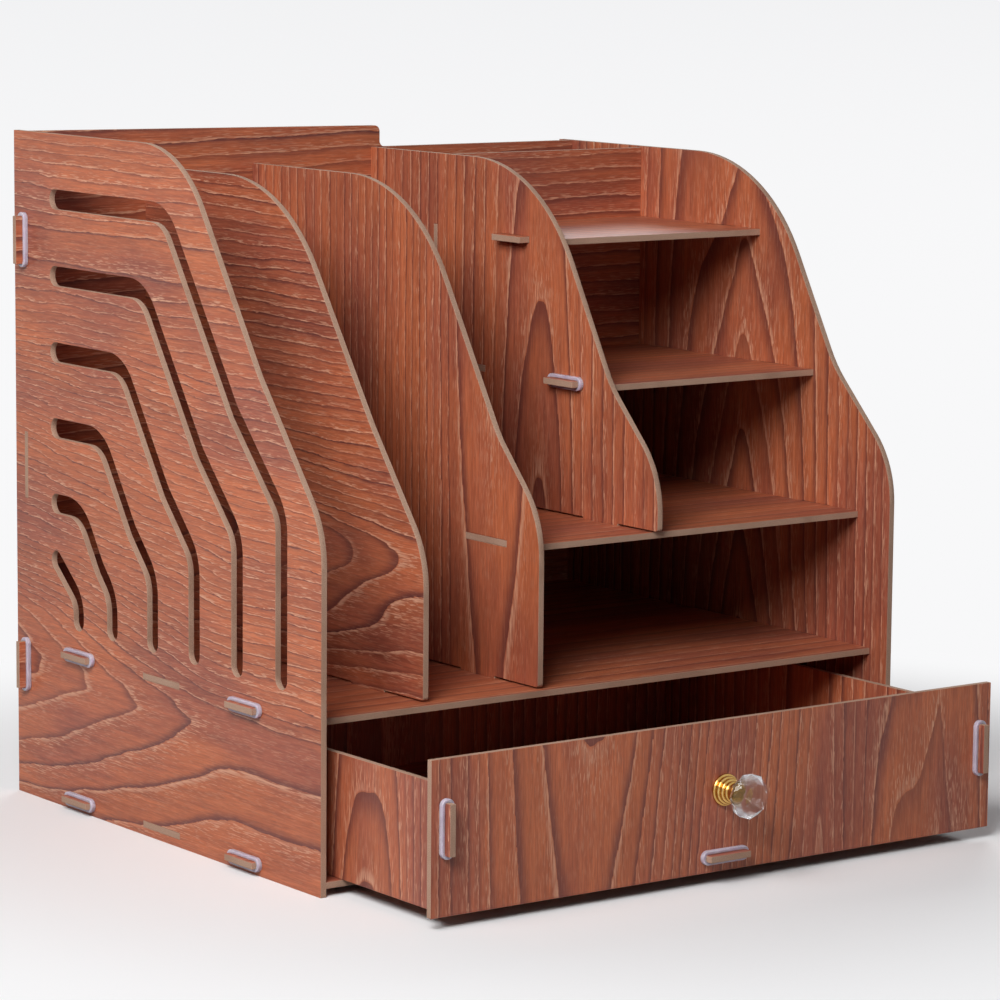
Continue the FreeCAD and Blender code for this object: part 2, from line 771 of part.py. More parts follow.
def drawer_rings():
    """Rings on the drawer's front and behind its back."""
    upright = [(f"{sign}{SIDE_MIDDLE}", "drawer_tab") for sign in ("-", "")]
    level = [("0", FLOOR_MIDDLE)]
    for name, label, depth in (("rings_front", "drawer_front_rings", "-board"),
                               ("rings_back", "drawer_back_rings", f"{DRAWER_LENGTH} + board + ring_height")):
        ring_group(name, label, "XZ_Plane", level, upright, "0", f"{DRAWER_LINE} + {depth}")


def drawer():
    """Five boards of the drawer and their rings."""
    bore = "screw_radius + fit_gap"
    knob_hole = [("0", "knob_height", bore)]
    drawer_end("front_board", "drawer_front", "drawer_front_low", "drawer_front_height", "0", [knob_hole])
    drawer_end("back_board", "drawer_back", DRAWER_LOW, "drawer_height", f"{DRAWER_LENGTH} + board")
    drawer_side("side_one", "drawer_left_side", f"-{SIDE_FACE}")
    drawer_side("side_two", "drawer_right_side", f"{SIDE_FACE} - board")
    drawer_bottom()
    drawer_rings()


def knob_piece(name, label, outline, depth):
    """Turned piece on the knob's axis, at a depth behind the drawer front's rear face."""
    piece = turned_body(name, outline)
    place(piece, "0", f"{DRAWER_LINE} + {depth}", "knob_height")
    sub_part(piece, label)


def knob_steps():
    """Rim of the knob's base: steps that narrow from the drawer to the neck, listed from the neck back."""
    corners = []
    for number in reversed(range(KNOB_STEPS)):
        radius = f"knob_base_radius - {number} * knob_step_inset"
        neck = number == KNOB_STEPS - 1
        front = "-knob_base_length" if neck else f"-{number + 1} * knob_step_length"
        corners += [(radius, front), (radius, f"-{number} * knob_step_length")]
    return corners


def knob():
    """Faceted knob on a stepped base, held by a screw and washer from inside the drawer."""
    bore = "screw_radius + fit_gap"
    bore_end = "(knob_base_length - knob_bore_floor)"
    base = [
        (bore, "0"),
        (bore, f"-{bore_end}"),
        ("0", f"-{bore_end}"),
        ("0", "-knob_base_length"),
        *knob_steps(),
    ]
    crystal = [
        ("0", "0"),
        ("0", "-crystal_belly - crystal_rim - crystal_crown"),
        ("crystal_face_radius", "-crystal_belly - crystal_rim - crystal_crown"),
        ("crystal_radius", "-crystal_belly - crystal_rim"),
        ("crystal_radius", "-crystal_belly"),
        ("crystal_seat_radius", "0"),
    ]
    washer = [
        (bore, "0"),
        ("washer_radius", "0"),
        ("washer_radius", "washer_thickness"),
        (bore, "washer_thickness"),
    ]
    screw_end = f"screw_end_gap - washer_thickness - board - {bore_end}"
    screw = [
        ("0", screw_end),
        ("screw_radius", screw_end),
        ("screw_radius", "0"),
        ("screw_head_radius", "0"),
        ("screw_head_radius", "screw_head_height"),
        ("0", "screw_head_height"),
    ]
    knob_piece("base_turning", "knob_base", base, "-board")
    knob_piece("crystal_turning", "knob_crystal", crystal, "-board - knob_base_length")
    knob_piece("washer_turning", "knob_washer", washer, "0")
    knob_piece("screw_turning", "knob_screw", screw, "washer_thickness")


def check_pieces():
    """Stops if any object failed or any piece is empty or invalid."""
    for item in doc.Objects:
        if "Invalid" in item.State or "Error" in item.State:
            raise RuntimeError(f"{item.Label} failed: {item.State}")
    for piece in sub_parts:
        if piece.Shape.isNull() or not piece.Shape.isValid():
            raise RuntimeError(f"{piece.Label} has no valid shape")
        print(f"{piece.Label}: {len(piece.Shape.Solids)} solid, {piece.Shape.Volume / 1000:.1f} cm3")


def write_pieces():
    """Writes each piece to its own file."""
    os.makedirs("parts", exist_ok=True)
    for piece in sub_parts:
        piece.Shape.exportStep(os.path.join("parts", f"{piece.Label}.step"))


fill_sheet()
for build in (left_side_panel, right_side_panel, back_panel, bottom_board, drawer_deck,
              file_divider_left, file_divider_right, lower_shelf, shelf_divider, middle_shelf, top_shelf,
              pen_wall, carcass_rings, drawer, knob):
    build()
doc.recompute()
check_pieces()
write_pieces()
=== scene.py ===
# %% [markdown]
# # A flat-pack desk organizer
# The organizer is cut from thin board with a printed wood film. Tabs pass through slots, and small oval
# plastic rings lock them from outside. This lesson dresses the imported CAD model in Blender. The CAD solids
# are the frame: every piece made here sits where its solid sits and rides on the same body.

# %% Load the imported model
import itertools
import math

import bmesh
import bpy
from mathutils import Matrix, Vector


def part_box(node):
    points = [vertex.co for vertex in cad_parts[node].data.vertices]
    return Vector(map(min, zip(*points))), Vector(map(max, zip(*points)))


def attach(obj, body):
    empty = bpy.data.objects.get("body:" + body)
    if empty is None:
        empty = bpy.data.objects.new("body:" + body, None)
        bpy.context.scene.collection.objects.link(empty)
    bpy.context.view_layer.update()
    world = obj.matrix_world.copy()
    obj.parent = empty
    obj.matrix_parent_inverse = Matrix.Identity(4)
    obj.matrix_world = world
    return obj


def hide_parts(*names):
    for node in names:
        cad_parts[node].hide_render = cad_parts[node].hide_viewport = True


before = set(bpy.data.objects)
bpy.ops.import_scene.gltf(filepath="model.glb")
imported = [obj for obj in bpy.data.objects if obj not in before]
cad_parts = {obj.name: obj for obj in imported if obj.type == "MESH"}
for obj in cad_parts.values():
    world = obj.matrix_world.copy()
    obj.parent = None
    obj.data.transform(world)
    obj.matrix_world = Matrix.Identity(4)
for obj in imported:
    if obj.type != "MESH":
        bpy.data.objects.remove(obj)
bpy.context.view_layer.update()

# %% [markdown]
# ## Camera
# The camera stands to the left of the front and a little above, with a long lens. Its place was solved from
# the straight edges of the boards, so it is written as angles and a position and needs no lens shift.

# %% Camera
CAMERA_PLACE = Vector((-1.49096, -2.25678, 0.56746))
YAW, PITCH, ROLL = 0.6300806, 0.1445989, 0.0089381
LENS, SENSOR = 147.95, 36


def in_scene(name, data):
    """A new object in the scene."""
    thing = bpy.data.objects.new(name, data)
    bpy.context.scene.collection.objects.link(thing)
    return thing


ahead = Vector((math.sin(YAW) * math.cos(PITCH), math.cos(YAW) * math.cos(PITCH), -math.sin(PITCH)))
level = Vector((math.cos(YAW), -math.sin(YAW), 0))
above = level.cross(ahead)
right = math.cos(ROLL) * level + math.sin(ROLL) * above
up = math.cos(ROLL) * above - math.sin(ROLL) * level

camera = in_scene("camera", bpy.data.cameras.new("camera"))
camera.data.lens = LENS
camera.data.sensor_width = SENSOR
camera.matrix_world = Matrix.Translation(CAMERA_PLACE) @ Matrix((right, up, -ahead)).transposed().to_4x4()
bpy.context.scene.camera = camera
print("camera lens", camera.data.lens)

# %% [markdown]
# ## Colours and nodes
# Colours are written as they look on a screen, from 0 to 255, and turned into Blender's linear values by one
# helper. Others add a node with its settings and inputs in one line, which keeps the material cells short
# enough to read. Every finish is placed in millimetres on its own piece, so it stays put when the piece moves.


# %% Helpers for colours and nodes
def colour(red, green, blue):
    """Linear colour of a screen colour."""
    shares = [part / 255 for part in (red, green, blue)]
    return [*(share / 12.92 if share < 0.0404 else ((share + 0.055) / 1.055) ** 2.4 for share in shares), 1]


def plug(tree, node, inputs):
    """Feed a node's inputs with values or with the sockets of other nodes."""
    for socket, source in inputs.items():
        if isinstance(source, bpy.types.NodeSocket):
            tree.links.new(source, node.inputs[socket])
        else:
            node.inputs[socket].default_value = source


def add(tree, kind, inputs=None, **settings):
    """A new node with its settings and inputs."""
    node = tree.nodes.new(kind)
    for name, setting in settings.items():
        setattr(node, name, setting)
    plug(tree, node, inputs or {})
    return node


def math_node(tree, operation, *inputs):
    return add(tree, "ShaderNodeMath", dict(enumerate(inputs)), operation=operation).outputs[0]


def vector_node(tree, operation, *inputs):
    return add(tree, "ShaderNodeVectorMath", dict(enumerate(inputs)), operation=operation).outputs[0]


# %% Helpers for patterns
def millimetres(tree):
    """The place on the piece in millimetres."""
    place = add(tree, "ShaderNodeTexCoord").outputs["Object"]
    return vector_node(tree, "MULTIPLY", place, (1000, 1000, 1000))


def noise(tree, place, stretch, detail=2.0, roughness=0.5):
    """Noise whose blobs are about stretch long along each axis, from 0 to 1."""
    scaled = vector_node(tree, "DIVIDE", place, stretch)
    inputs = {"Vector": scaled, "Scale": 1.0, "Detail": detail, "Roughness": roughness}
    return add(tree, "ShaderNodeTexNoise", inputs).outputs[0]


def remap(tree, source, low, high, to_low=0.0, to_high=1.0):
    """Source between low and high, spread smoothly from to_low to to_high."""
    inputs = {0: source, 1: low, 2: high, 3: to_low, 4: to_high}
    return add(tree, "ShaderNodeMapRange", inputs, interpolation_type="SMOOTHSTEP").outputs[0]


def blend(tree, share, first, second, blend_type="MIX"):
    """Two colours mixed by a share."""
    inputs = {0: share, 6: first, 7: second}
    return add(tree, "ShaderNodeMix", inputs, data_type="RGBA", blend_type=blend_type).outputs[2]


def ramp(tree, share, stops):
    """A colour that runs through (place, colour) stops."""
    node = add(tree, "ShaderNodeValToRGB", {0: share})
    elements = node.color_ramp.elements
    for number, (place, shade) in enumerate(stops):
        stop = elements[number] if number < 2 else elements.new(place)
        stop.position = place
        stop.color = shade
    return node.outputs[0]


def bump(tree, height, strength, distance):
    """A normal that follows a height, for relief too fine to model."""
    return add(tree, "ShaderNodeBump", {"Height": height, "Strength": strength, "Distance": distance}).outputs[0]


def new_material(name):
    """A new material, its tree and its main shader."""
    material = bpy.data.materials.new(name)
    material.use_nodes = True
    return material, material.node_tree, material.node_tree.nodes["Principled BSDF"]


# %% [markdown]
# ## Wood film
# The boards carry a printed film: reddish brown, with year rings that run as lines along the grain and close
# into pointed arches where the saw cut the top of a ring. A picture of wood could be pasted on, but a printed
# film is a rule, so it is drawn with nodes. One group does the printing. It gets a place on the board in
# millimetres, first along the grain and then across it, and the number of year rings grown at that place. A
# ring starts with chalky pale dashes, stays plain for a while and ends in a dark line: Dark Start says where
# in the ring it begins, so a late start gives a thin line and an early one a broad shade. Chance makes some
# rings strong and others faint, as in a tree.

# %% Shares within a ring
film_print = bpy.data.node_groups.new("film_print", "ShaderNodeTree")
for name, kind in (("Grain", "Vector"), ("Growth", "Float"), ("Figure", "Float"), ("Dark Start", "Float")):
    film_print.interface.new_socket(name, in_out="INPUT", socket_type=f"NodeSocket{kind}")
for name, kind in (("Colour", "Color"), ("Roughness", "Float"), ("Height", "Float")):
    film_print.interface.new_socket(name, in_out="OUTPUT", socket_type=f"NodeSocket{kind}")
grain, growth, figure, dark_start = film_print.nodes.new("NodeGroupInput").outputs[:4]

ring_part = math_node(film_print, "FRACT", growth)
ring_number = math_node(film_print, "FLOOR", growth)


def times(first, second):
    return math_node(film_print, "MULTIPLY", first, second)


def ring_chance(shift):
    """A number from 0 to 1 that is the same all along a ring."""
    moved = math_node(film_print, "ADD", ring_number, shift)
    return add(film_print, "ShaderNodeTexWhiteNoise", {"W": moved}, noise_dimensions="1D").outputs["Value"]


def varied(share, chance, least):
    """A share that is weaker on some rings, at least this much."""
    return times(share, times(remap(film_print, chance, 0, 1, least, 1), figure))


def ring_share(stops):
    """How strongly something shows from a ring's start to its end."""
    return ramp(film_print, ring_part, [(place, (level, level, level, 1)) for place, level in stops])


late = math_node(film_print, "POWER", remap(film_print, ring_part, dark_start, 1), 2)
early = ring_share([(0, 0), (0.02, 1), (0.12, 0.75), (0.36, 0.34), (0.7, 0.12)])
chalk = ring_share([(0, 0), (0.03, 1), (0.09, 0.6), (0.15, 0)])
late_share = varied(late, ring_chance(0.5), 0.5)
early_share = varied(early, ring_chance(61.5), 0.5)
chalk_share = varied(chalk, ring_chance(133.5), 0.3)
print("shares within a ring:", len(film_print.nodes), "nodes")

# %% [markdown]
# The print is laid down as a printer would: a patchy ground, bands and fine fibres over it, then the dark
# lines, the pale chalk and at last the short dark pores. Bands and fibres multiply the colour below them, so
# they darken and lighten without a hue of their own.

# %% Ground, bands and fibres
LIGHT_GROUND, DEEP_GROUND = colour(188, 106, 70), colour(160, 88, 67)
# How long and how wide each kind of mark is, in millimetres
PATCH, BAND, FIBRE = (150, 50, 1), (60, 3.2, 1), (20, 1.0, 1)


def tinted(below, share, *stops):
    """A colour multiplied by the tint that a share picks."""
    return blend(film_print, 1.0, below, ramp(film_print, share, stops), "MULTIPLY")


patches = noise(film_print, grain, PATCH, 2)
ground = blend(film_print, remap(film_print, patches, 0.35, 0.68), LIGHT_GROUND, DEEP_GROUND)
ring_tone = remap(film_print, ring_chance(7.5), 0, 1, 0.93, 1.05)
toned = add(film_print, "ShaderNodeHueSaturation", {"Value": ring_tone, "Color": ground}).outputs[0]
bands = noise(film_print, grain, BAND, 2)
banded = tinted(toned, bands, (0.3, (0.86, 0.81, 0.82, 1)), (0.7, (1.1, 1.1, 1.06, 1)))
fibre = noise(film_print, grain, FIBRE, 3, 0.65)
fibred = tinted(banded, fibre, (0.32, (0.78, 0.74, 0.74, 1)), (0.68, (1.16, 1.16, 1.16, 1)))
print("ground of the film:", len(film_print.nodes), "nodes")

# %% Lines, chalk and pores
DARK_LINE, CHALK, PORE_SHADE = colour(104, 53, 47), colour(219, 167, 137), colour(108, 58, 48)
DASH, STREAK, PORE = (8, 0.75, 1), (16, 1.1, 1), (9, 0.7, 1)
PORE_SHIFT = (311, 97, 5)

darkened = blend(film_print, times(late_share, 0.85), fibred, DARK_LINE)
dashes = remap(film_print, noise(film_print, grain, DASH, 1), 0.54, 0.64)
streaks = remap(film_print, noise(film_print, grain, STREAK, 2), 0.34, 0.58)
dash_share = times(dashes, times(early_share, 0.95))
line_share = times(streaks, times(chalk_share, 0.8))
pale_share = math_node(film_print, "MAXIMUM", dash_share, line_share)
dashed = blend(film_print, pale_share, darkened, CHALK)
elsewhere = vector_node(film_print, "ADD", grain, PORE_SHIFT)
pores = remap(film_print, noise(film_print, elsewhere, PORE, 1), 0.6, 0.72)
printed = blend(film_print, times(pores, 0.24), dashed, PORE_SHADE)
gloss = math_node(film_print, "MULTIPLY_ADD", fibre, 0.16, 0.36)
height = math_node(film_print, "SUBTRACT", fibre, times(pores, 0.7))
add(film_print, "NodeGroupOutput", {"Colour": printed, "Roughness": gloss, "Height": height})
print("film print:", len(film_print.nodes), "nodes")

# %% [markdown]
# ## A film for each board
# Each board was cut from another place of the sheet, so each gets its own figure. A smooth curve tells how
# many rings have grown at each place across the board: steep where the lines are close, flat where the film
# is plain. A lean adds rings along the grain near one line, which tilts the lines there, and where the curve
# has a dip they close into a pointed arch. Noise moves the place sideways by millimetres, so the lines wander
# and fray.

# %% Rings across a board
AXES = {"x": 0, "y": 1, "z": 2}
FILM_SHIFT = 37.3  # keeps the noise of two boards apart
LEAN_EASE = 40.0  # millimetres over which a lean sets in
# How long and wide a swing of the lines is, how far it goes, and whether a board's wander scales it
SWINGS = [((260, 9, 1), 3.0, False), ((85, 40, 1), 9.0, True), ((26, 8, 1), 2.6, True),
          ((11, 1.6, 1), 1.7, False), ((4, 0.8, 1), 0.8, False)]
film_numbers = itertools.count(1)


def ring_curve(tree, source, rings):
    """Rings grown at a place across the board, through (place, rings) points."""
    node = add(tree, "ShaderNodeFloatCurve", {"Value": source})
    curves = node.mapping
    levels = [level for _, level in rings]
    curves.use_clip = False
    curves.clip_min_x, curves.clip_max_x = rings[0][0], rings[-1][0]
    curves.clip_min_y, curves.clip_max_y = min(levels), max(levels)
    points = curves.curves[0].points
    for place, level in rings[1:-1]:
        points.new(place, level)
    for point, spot in zip(sorted(points, key=lambda point: point.location.x), sorted(rings)):
        point.location = spot
        point.handle_type = "AUTO_CLAMPED"
    curves.update()
    return node.outputs[0]


def leaning(tree, growth, length, side, lean):
    """Growth with a lean added: (place across, reach, rings per mm, start along)."""
    centre, reach, rate, start = lean
    far = math_node(tree, "SMOOTH_MAX", math_node(tree, "SUBTRACT", length, start), 0.0, LEAN_EASE)
    off = math_node(tree, "DIVIDE", math_node(tree, "SUBTRACT", side, centre), reach)
    near = math_node(tree, "EXPONENT", math_node(tree, "MULTIPLY", math_node(tree, "MULTIPLY", off, off), -1))
    return math_node(tree, "MULTIPLY_ADD", math_node(tree, "MULTIPLY", far, near), rate, growth)


# %% Film material
def wood_film(name, along, across, rings, leans=(), wander=1.0, figure=1.0, dark_start=0.45):
    """Film with the grain along one axis, its rings across another and its leans."""
    material, tree, shader = new_material(f"film_{name}")
    axes = add(tree, "ShaderNodeSeparateXYZ", {0: millimetres(tree)}).outputs
    length, side = axes[AXES[along]], axes[AXES[across]]
    depth = FILM_SHIFT * next(film_numbers)
    board = add(tree, "ShaderNodeCombineXYZ", {0: length, 1: side, 2: depth}).outputs[0]
    for stretch, spread, wanders in SWINGS:
        swing = math_node(tree, "SUBTRACT", noise(tree, board, stretch, 1), 0.5)
        side = math_node(tree, "MULTIPLY_ADD", swing, spread * wander if wanders else spread, side)
    growth = ring_curve(tree, side, rings)
    for lean in leans:
        growth = leaning(tree, growth, length, side, lean)
    inputs = {"Grain": board, "Growth": growth, "Figure": figure, "Dark Start": dark_start}
    film = add(tree, "ShaderNodeGroup", inputs, node_tree=film_print)
    plug(tree, shader, {
        "Base Color": film.outputs["Colour"],
        "Roughness": film.outputs["Roughness"],
        "Normal": bump(tree, film.outputs["Height"], 0.12, 0.0004),
        "Specular IOR Level": 0.4,
    })
    return material


# %% [markdown]
# ## Raw edge
# Where a board is cut, its core shows: pale greyish tan, made of pressed wood dust. It is duller than the film
# and speckled. Fine noise gives the speckle, and a wider one the slightly darker places left by the cutter.

# %% Raw edge material
DUST_SHADES = [(0.25, colour(146, 112, 92)), (0.5, colour(176, 141, 119)), (0.8, colour(202, 170, 148))]
SCORCH_SHADE = colour(134, 96, 76)

raw_edge, tree, shader = new_material("raw_edge")
place = millimetres(tree)
dust = noise(tree, place, (0.5, 0.5, 0.5), 3, 0.7)
scorch = remap(tree, noise(tree, place, (30, 30, 30), 2), 0.45, 0.75, 0, 0.4)
plug(tree, shader, {
    "Base Color": blend(tree, scorch, ramp(tree, dust, DUST_SHADES), SCORCH_SHADE),
    "Roughness": remap(tree, dust, 0.2, 0.8, 0.95, 0.75),
    "Normal": bump(tree, dust, 0.3, 0.0003),
})
print("raw edge:", raw_edge.name)

# %% [markdown]
# ## Boards
# A board is its CAD solid with its sharp edges broken by a quarter of a millimetre, as a cutter and some use
# leave them. The solid's triangles are merged first, flat ones are joined, and the Bevel modifier does the
# rest. Faces that look along the board's thin axis get the film, and all others are cut edges.

# %% Board maker
EDGE_BREAK = 0.00025
FILM, EDGE = 0, 1


def thin_axis(low, high):
    sides = high - low
    return min(range(3), key=lambda axis: sides[axis])


def joined_copy(node):
    """A merged copy of a CAD node's mesh, its flat triangles joined."""
    mesh = bmesh.new()
    mesh.from_mesh(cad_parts[node].data)
    bmesh.ops.remove_doubles(mesh, verts=mesh.verts, dist=1e-6)
    bmesh.ops.dissolve_limit(mesh, angle_limit=math.radians(0.3), verts=mesh.verts, edges=mesh.edges)
    return mesh


def plain_piece(name, source, body, slot, *nodes):
    """The evaluated source as a plain piece that stands for CAD nodes."""
    depsgraph = bpy.context.evaluated_depsgraph_get()
    finished = bpy.data.meshes.new_from_object(source.evaluated_get(depsgraph), depsgraph=depsgraph)
    finished.name = name
    bpy.data.objects.remove(source)
    piece = in_scene(name, finished)
    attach(piece, body)
    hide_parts(*nodes)
    return piece


def dress_board(node, body, film):
    """Board with a film on its two faces and raw edges, its sharp edges broken."""
    thin = thin_axis(*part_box(node))
    mesh = joined_copy(node)
    for face in mesh.faces:
        face.material_index = FILM if abs(face.normal[thin]) > 0.7 else EDGE
    data = bpy.data.meshes.new(f"{node}_blank")
    mesh.to_mesh(data)
    mesh.free()
    data.materials.append(film)
    data.materials.append(raw_edge)
    blank = in_scene(f"{node}_blank", data)
    broken = blank.modifiers.new("broken_edges", "BEVEL")
    broken.width = EDGE_BREAK
    broken.segments = 2
    broken.limit_method = "ANGLE"
    broken.angle_limit = math.radians(40)
    broken.use_clamp_overlap = False
    piece = plain_piece(f"{node}_dressed", blank, body, "wood_board", node)
    print(piece.name, len(piece.data.polygons), "faces")


# %% [markdown]
# ## Carcass boards
# The tall left panel and the first divider have the grain from back to front. The other uprights have it
# upright, the back panel and the pen wall have it level, and the deck and shelves have it from side to side.
# Most uprights show one pointed arch, and the left panel a wide nest of them low down.

# %% Films of the uprights
CARCASS_FILMS = {
    "left_side_panel": wood_film("left_panel", "y", "z", [
        (-15, 3.4), (0, 2.85), (27, 2.0), (59.5, 1.0), (72, 0.62), (80, 0.45), (86, 0.7), (91, 1.0), (96, 1.6),
        (102, 2.4), (130, 6.8), (300, 36.0), (328, 39.8), (345, 41.2), (365, 42.0), (382, 44.0), (440, 52.0)],
        [(50, 60, -0.0125, -230), (130, 40, -0.03, -215), (225, 60, -0.022, -240)], figure=1.15, dark_start=0.74),
    "file_divider_left": wood_film("first_divider", "y", "z", [
        (80, 17.5), (105, 15.0), (118, 13.9), (135, 12.7), (154, 12.31), (162, 12.05), (170, 11.6), (176, 11.3),
        (183, 11.2), (190, 11.36), (196, 11.9), (212, 14.2), (235, 17.5), (420, 44)],
        [(170, 60, -0.024, -292)], wander=0.7, figure=1.2, dark_start=0.6),
    "file_divider_right": wood_film("second_divider", "z", "y", [
        (-345, 3.2), (-320, 2.0), (-308, 1.6), (-296, 1.3), (-281, 1.0), (-269, 0.75), (-256, 1.0), (-244, 1.3),
        (-236, 1.5), (-228, 2.0), (-215, 3.4), (-200, 5.2), (-100, 18), (20, 31)],
        [(-269, 60, -0.0045, 101)], wander=0.35, dark_start=0.66),
    "shelf_divider": wood_film("shelf_divider", "z", "y", [
        (-340, 14), (-300, 10), (-240, 4.2), (-217, 2.0), (-206, 1.25), (-198, 0.88), (-192, 0.81), (-186, 0.88),
        (-177, 1.25), (-163, 2.0), (-140, 4), (20, 20)],
        [(-192, 42, 0.009, 187)], wander=0.35, dark_start=0.62),
    "right_side_panel": wood_film("right_panel", "z", "y", [
        (-350, 16.3), (-290, 9.2), (-261, 6.1), (-241, 4.2), (-218, 2.1), (-205, 1.1), (-189, 0.33), (-178, 0.9),
        (-167, 1.75), (-140, 3.9), (-80, 9.3), (30, 21.3)],
        [(-189, 60, 0.016, 60)], wander=0.4),
}
print("films of the uprights:", len(CARCASS_FILMS))

# %% Films of the back, the deck and the shelves
CARCASS_FILMS |= {
    "back_panel": wood_film("back_panel", "x", "z", [
        (-15, 0), (70, 8), (120, 10.5), (165, 12), (260, 24), (440, 42)],
        [(210, 300, -0.0045, -220)], wander=0.8, figure=1.2),
    "pen_wall": wood_film("pen_wall", "x", "z", [(260, 0), (420, 17)], wander=0.7),
    "bottom_board": wood_film("bottom_board", "x", "y", [(-350, 0), (-180, 13), (-120, 15), (15, 27)],
                              wander=0.6, figure=0.5),
    "drawer_deck": wood_film("deck", "x", "y", [(-335, 0), (-180, 9), (-120, 10.5), (15, 21)],
                             wander=0.5, figure=0.7),
    "lower_shelf": wood_film("lower_shelf", "x", "y", [(-325, 0), (15, 28)], wander=0.5, figure=0.7),
    "middle_shelf": wood_film("middle_shelf", "x", "y", [(-280, 0), (15, 26)], wander=0.5, figure=0.7),
    "top_shelf": wood_film("top_shelf", "x", "y", [(-225, 0), (-60, 15)], wander=0.5, figure=0.7),
}
for node, film in CARCASS_FILMS.items():
    dress_board(node, "carcass", film)

# %% [markdown]
# ## Drawer boards
# The drawer front has upright grain: a plain place at the left, close lines in the middle and one tall arch
# near the right end. The drawer's left side has an arch of its own, and the other boards have plain lines.

# %% Drawer boards
DRAWER_FILMS = {
    "drawer_front": wood_film("drawer_front", "z", "x", [
        (-225, 10.3), (-211, 8.1), (-196, 6.1), (-184, 5.1), (-170, 3.2), (-153, 2.3), (-132, 1.5), (-120, 1.08),
        (-110, 0.84), (-102, 0.765), (-94, 0.84), (-85, 1.03), (-66, 2.1), (-45, 4.2), (-19, 8.3), (66, 20.75),
        (74, 21.2), (82, 20.5), (93, 18.9), (105, 17.3), (114, 16), (128.6, 15), (130.6, 14.84), (135.6, 14.62),
        (151.6, 14.37), (161, 14.06), (167.5, 13.9), (172.5, 14.47), (175.5, 14.7), (179, 14.88), (186, 15),
        (192, 15.15), (200, 15.75), (204, 16.1), (208, 16.9), (225, 20.5)],
        [(-20, 110, -0.014, 0), (149, 45, 0.0155, 0)], wander=0.2, dark_start=0.55),
    "drawer_left_side": wood_film("drawer_left", "z", "y", [
        (-460, 11), (-420, 6.4), (-385, 1.6), (-361, 0.7), (-340, 1.6), (-300, 6.2), (-100, 25)],
        [(-361, 34, 0.02, 0)], wander=0.25),
    "drawer_right_side": wood_film("drawer_right", "z", "y", [(-460, 0), (-300, 17), (-240, 20), (-100, 34)],
                                   wander=0.25),
    "drawer_back": wood_film("drawer_back", "z", "x", [(-225, 0), (-60, 19), (0, 21), (225, 45)], wander=0.25),
    "drawer_bottom": wood_film("drawer_floor", "x", "y", [(-450, 0), (-100, 30)], wander=0.5, figure=0.5),
}
for node, film in DRAWER_FILMS.items():
    dress_board(node, "drawer", film)

# %% [markdown]
# ## Locking rings
# Small oval rings of milky plastic are pushed over the tabs. All are alike, so one ring is drawn in Geometry
# Nodes, an oval path with a rounded section, and set on points. The points come from the CAD rings themselves:
# each loose part's box gives its middle, its long side and the face that it sits on.

# %% Ring plastic
MILKY = [(0.3, colour(178, 169, 184)), (0.7, colour(200, 193, 207))]

ring_plastic, tree, shader = new_material("ring_plastic")
place = millimetres(tree)
cloud = noise(tree, place, (9, 9, 9), 3)
scuffs = noise(tree, place, (0.6, 0.6, 0.6), 4, 0.7)
plug(tree, shader, {
    "Base Color": ramp(tree, cloud, MILKY),
    "Roughness": remap(tree, scuffs, 0.3, 0.75, 0.22, 0.45),
    "Normal": bump(tree, scuffs, 0.08, 0.0002),
    "Subsurface Weight": 0.7,
    "Subsurface Radius": (0.003, 0.0025, 0.003),
    "Subsurface Scale": 1.0,
})
print("ring plastic:", ring_plastic.name)


# %% Rings of a CAD node
def loose_boxes(node):
    """Lowest and highest corner of each loose part of a CAD node."""
    mesh = joined_copy(node)
    boxes, seen = [], set()
    for start in mesh.verts:
        if start.index in seen:
            continue
        seen.add(start.index)
        part, waiting = [], [start]
        while waiting:
            corner = waiting.pop()
            part.append(corner.co.copy())
            for edge in corner.link_edges:
                other = edge.other_vert(corner)
                if other.index not in seen:
                    seen.add(other.index)
                    waiting.append(other)
        boxes.append((Vector(map(min, zip(*part))), Vector(map(max, zip(*part)))))
    mesh.free()
    return boxes


def ring_spots(nodes):
    """Middle, turn and sides of each ring."""
    spots = []
    for node in nodes:
        for low, high in loose_boxes(node):
            sides = high - low
            order = sorted(range(3), key=lambda axis: sides[axis], reverse=True)
            axis_long, axis_up = Vector(), Vector()
            axis_long[order[0]] = 1
            axis_up[order[2]] = 1
            turn = Matrix((axis_long, axis_up.cross(axis_long), axis_up)).transposed().to_euler()
            spots.append(((low + high) / 2, turn, [sides[axis] for axis in order]))
    return spots


# %% [markdown]
# The tree below has named inputs for the ring's sizes. It turns points into rings, makes them real geometry
# and gives them their material, because instances would be lost in the export. A modifier finds an input by
# the socket's identifier, so the helper that makes the inputs returns these.

# %% Helpers for trees of shapes
def tree_inputs(tree, kinds):
    """Named inputs of a tree and their identifiers."""
    return {name: tree.interface.new_socket(name, in_out="INPUT", socket_type=f"NodeSocket{kind}").identifier
            for name, kind in kinds.items()}


def end_tree(tree, shape, material, name):
    """Make instances real, set the material and hand the shape out."""
    real = add(tree, "GeometryNodeRealizeInstances", {0: shape}).outputs[0]
    finished = add(tree, "GeometryNodeSetMaterial", {"Geometry": real, "Material": material}).outputs[0]
    tree.interface.new_socket(name, in_out="OUTPUT", socket_type="NodeSocketGeometry")
    add(tree, "NodeGroupOutput", {name: finished})
    print(tree.name, "tree:", len(tree.nodes), "nodes")


def use_tree(source, tree, identifiers, sizes):
    """Put a tree on an object, with its inputs set."""
    modifier = source.modifiers.new(tree.name, "NODES")
    modifier.node_group = tree
    for name, size in sizes.items():
        modifier[identifiers[name]] = size


